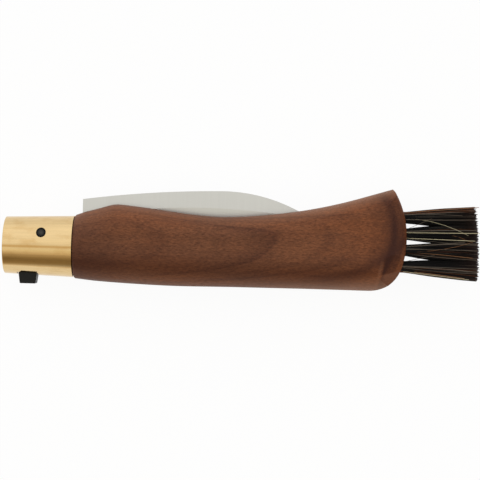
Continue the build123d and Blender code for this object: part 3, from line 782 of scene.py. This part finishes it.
def tuft(node, brush, generator):
    """One tuft of hairs. Roots fill a disc by the sunflower rule, and tips a rounded square, whose
    outline is y^4 + z^4 = 1. From the wood on, the tuft's middle runs straight, and each hair goes
    from its root's to its tip's place about it."""
    middle, radius, mouth, tip_middle, tip_half = tuft_form(node)
    reach = CAD_BOX[1][0] - TIP_ROOM * MM
    half = np.array([brush.spread, tip_half])
    count = brush.hairs
    steps = np.array(HAIR_RINGS)
    hairs = SimpleNamespace()
    order = np.arange(count) + 0.5
    turn = order * GOLDEN_TURN
    circle = np.stack([np.cos(turn), np.sin(turn)], axis=1)
    hairs.roots = circle * np.sqrt(order / count)[:, None]
    corners = (np.abs(circle) ** 4).sum(axis=1) ** -0.25
    hairs.tips = hairs.roots * corners[:, None] + generator.normal(0, TIP_STRAY, (count, 2))
    hairs.tips = np.clip(hairs.tips, -TIP_LIMIT, TIP_LIMIT)
    place = hairs.roots[:, 0]
    hairs.tones = hair_tones(node, brush, place, generator)
    short = generator.uniform(0, 1, count) ** UNEVEN_POWER * brush.uneven
    hairs.leans = hair_leans(node, place, steps)
    thickness = generator.uniform(*THICKNESSES, (count, 1))
    hairs.radii = brush.hair / 2 * thickness * (1 - TAPER * steps**2)
    bows = generator.normal(0, BOW * MM, (count, 1, 2))
    hairs.waves = bows * np.sin(np.pi * steps)[None, :, None]
    from_low = tip_middle[1] + hairs.tips[:, 0] * half[0] - PIVOT.y - LONGEST_Y * MM
    clumps = sum(1 + np.sin(2 * np.pi * from_low / (pitch * MM)) for pitch in CLUMP_PITCHES)
    short = short + SHORTER / MM * from_low**2 + CLUMP_DEPTH * MM * clumps
    hairs.ends = np.minimum(reach + TIP_TRIM * MM - short, reach)
    if TOP_COLUMN in node:
        lay_strays(node, brush, hairs, steps, mouth, reach)

    roots = hairs.roots * (radius - brush.hair / 2)
    free = (hairs.ends - mouth)[:, None] * steps
    along = np.column_stack([np.full(count, middle[0] + ROOT_DEPTH * MM), mouth + free[:, 1:]])
    gone = (free / (reach - mouth))[:, :, None]
    centre = middle[1:] + (tip_middle - middle)[1:] * gone
    sideways = centre + roots[:, None] + (hairs.tips * half - roots)[:, None] * hairs.leans
    centres = np.concatenate([along[:, :, None], sideways + hairs.waves], axis=2)
    worn = np.multiply(TIP_BROWN, brush.brown) * (steps**TIP_BROWN_POWER)[None, :, None]
    name = node.replace("tuft", "bristles")
    return rods(name, centres, hairs.radii, hairs.tones[:, None, :] + worn)


class KNIFE_OT_stage(bpy.types.Operator):
    """Lay the floor and set the room's light and the camera"""

    bl_idname = "knife.stage"
    bl_label = "Studio"

    def execute(self, context):
        s = context.scene.knife_stage
        scene = context.scene
        half = FLOOR_HALF * MM
        corners = [(-half, -half, 0), (half, -half, 0), (half, half, 0), (-half, half, 0)]
        mesh = bpy.data.meshes.new("floor")
        mesh.from_pydata(corners, [], [(0, 1, 2, 3)])
        mesh.materials.append(studio_paper(s))
        floor = bpy.data.objects.new("floor", mesh)
        scene.collection.objects.link(floor)

        # A place on the ramp is 0.5 plus the angle from straight up towards -Y, as part of a turn.
        world = bpy.data.worlds.new("studio")
        scene.world = world
        world.use_nodes = True
        tree = world.node_tree
        tree.nodes.clear()
        direction = add(tree, "TexCoord").node.outputs["Generated"]
        _, y, z = add(tree, "SeparateXYZ", direction).node.outputs
        angle = add(tree, "Math", y, z, operation="ARCTAN2")
        turn = add(tree, "Math", angle, -0.5 / math.pi, 0.5, operation="MULTIPLY_ADD")
        stops = [(0.5 + degrees / 360, tint) for degrees, tint in WALLS]
        room = add(tree, "ValToRGB", turn, stops=stops)
        add(tree, "OutputWorld", add(tree, "Background", room, s.room))

        camera = bpy.data.cameras.new("camera")
        camera.lens = camera.sensor_width * s.distance / s.view_width
        camera.clip_start = 10 * MM
        holder = bpy.data.objects.new("camera", camera)
        holder.location = PIVOT + Vector((*VIEW_CENTRE, s.distance / MM)) * MM
        holder.rotation_euler = (0, 0, s.roll)
        scene.collection.objects.link(holder)
        scene.camera = holder
        scene.view_settings.view_transform = "Standard"
        return {"FINISHED"}


class KNIFE_OT_handle(bpy.types.Operator):
    """Finish the carved handle in oiled walnut"""

    bl_idname = "knife.handle"
    bl_label = "Walnut handle"

    def execute(self, context):
        dress("handle", oiled_walnut(context.scene.knife_walnut))
        return {"FINISHED"}


class KNIFE_OT_ferrule(bpy.types.Operator):
    """Finish the ferrule and the pivot washers in brass"""

    bl_idname = "knife.ferrule"
    bl_label = "Brass ferrule"

    def execute(self, context):
        brass = polished_brass(context.scene.knife_metal)
        for node in ("ferrule", "pivot_washer_upper", "pivot_washer_lower"):
            dress(node, brass)
        return {"FINISHED"}


class KNIFE_OT_blade(bpy.types.Operator):
    """Finish the blade in satin steel"""

    bl_idname = "knife.blade"
    bl_label = "Satin blade"

    def execute(self, context):
        s = context.scene.knife_metal
        dress("blade", ground_steel("satin_stainless_steel", s.satin_pitch, s.steel, rough=0.26))
        return {"FINISHED"}


class KNIFE_OT_fittings(bpy.types.Operator):
    """Finish the pin, the lock ring, its button and the small steel pieces"""

    bl_idname = "knife.fittings"
    bl_label = "Pin, ring and button"

    def execute(self, context):
        s = context.scene.knife_metal
        dress("pivot_pin", black_oxide_steel(s))
        dress("lock_button", moulded_black_plastic(context.scene.knife_button))
        spring = ground_steel("ground_spring_steel", s.spring_pitch, s.spring, rough=0.28)
        for node in ("lock_ring", "button_screw", "tuft_anchors"):
            dress(node, spring)
        return {"FINISHED"}


class KNIFE_OT_brush(bpy.types.Operator):
    """Make the tufts of boar bristle in place of the CAD strands"""

    bl_idname = "knife.brush"
    bl_label = "Boar bristles"

    def execute(self, context):
        brush = context.scene.knife_brush
        generator = np.random.default_rng(brush.seed)
        bristle = boar_bristle()
        for node in TUFTS:
            piece = tuft(node, brush, generator)
            piece.data.materials.append(bristle)
            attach(piece, "handle_body")
            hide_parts(node)
        return {"FINISHED"}


SETTINGS = {
    "knife_walnut": WalnutSettings,
    "knife_metal": MetalSettings,
    "knife_button": ButtonSettings,
    "knife_brush": BrushSettings,
    "knife_stage": StageSettings,
}
STEPS = (
    KNIFE_OT_stage, KNIFE_OT_handle, KNIFE_OT_ferrule, KNIFE_OT_blade, KNIFE_OT_fittings,
    KNIFE_OT_brush,
)


class KNIFE_PT_panel(bpy.types.Panel):
    """Lists the knife's settings and steps in the sidebar"""

    bl_idname = "KNIFE_PT_panel"
    bl_label = "Mushroom knife"
    bl_space_type = "VIEW_3D"
    bl_region_type = "UI"
    bl_category = "Knife"

    def draw(self, context):
        for name, group in SETTINGS.items():
            box = self.layout.box()
            for key in group.__annotations__:
                box.prop(getattr(context.scene, name), key)
        for step in STEPS:
            self.layout.operator(step.bl_idname)


def register():
    for name, group in SETTINGS.items():
        bpy.utils.register_class(group)
        setattr(bpy.types.Scene, name, PointerProperty(type=group))
    for cls in (*STEPS, KNIFE_PT_panel):
        bpy.utils.register_class(cls)


def unregister():
    for cls in (KNIFE_PT_panel, *reversed(STEPS)):
        bpy.utils.unregister_class(cls)
    for name, group in reversed(SETTINGS.items()):
        delattr(bpy.types.Scene, name)
        bpy.utils.unregister_class(group)


def main():
    register()
    bpy.ops.knife.stage()
    bpy.ops.knife.handle()
    bpy.ops.knife.ferrule()
    bpy.ops.knife.blade()
    bpy.ops.knife.fittings()
    bpy.ops.knife.brush()


if __name__ == "__main__":
    main()
